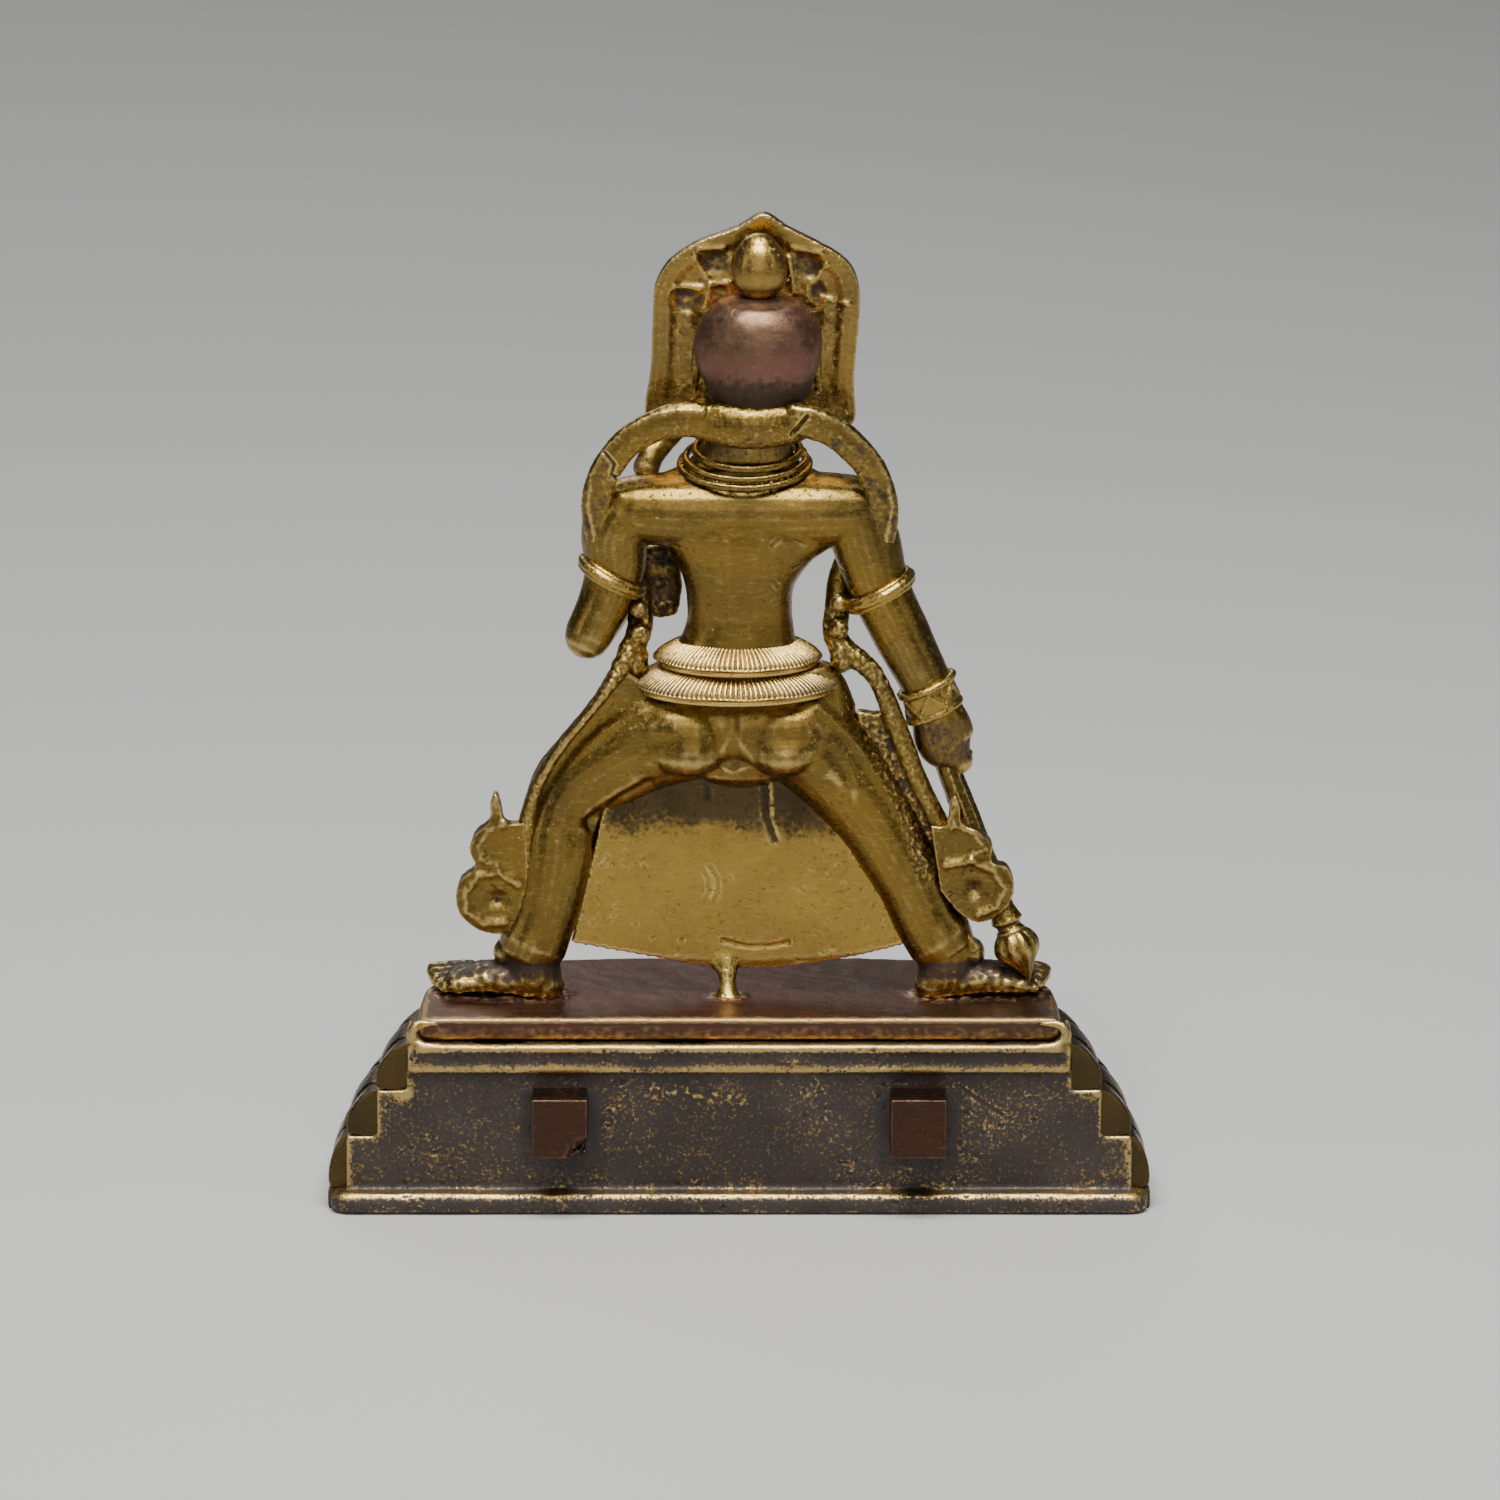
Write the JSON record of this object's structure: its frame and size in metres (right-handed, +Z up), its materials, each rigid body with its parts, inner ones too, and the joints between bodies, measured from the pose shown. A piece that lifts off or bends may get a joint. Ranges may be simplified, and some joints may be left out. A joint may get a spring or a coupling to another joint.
{
  "type": "wrathful deity statue",
  "caption": "Small gilt copper figure of a wrathful deity in a wide lunge with a club, crown plate and scarves, on a stepped petal base with a flat tenoned back.",
  "frame": {"origin": "middle of the bounding box, on the underside of the base", "axes": "+Z up, -Y the way the figure faces, +X the figure's left hand"},
  "size_m": [0.1154, 0.0488, 0.1388],
  "materials": {
    "gilt_copper": "worn fire gilding with dark pits, copper showing on hair and slab",
    "dark_gilt_copper": "dark brown cast copper with gilding left on edges and petals"
  },
  "bodies": {
    "root": {"figure": "gilt_copper", "base": "dark_gilt_copper"}
  },
  "joints": []
}
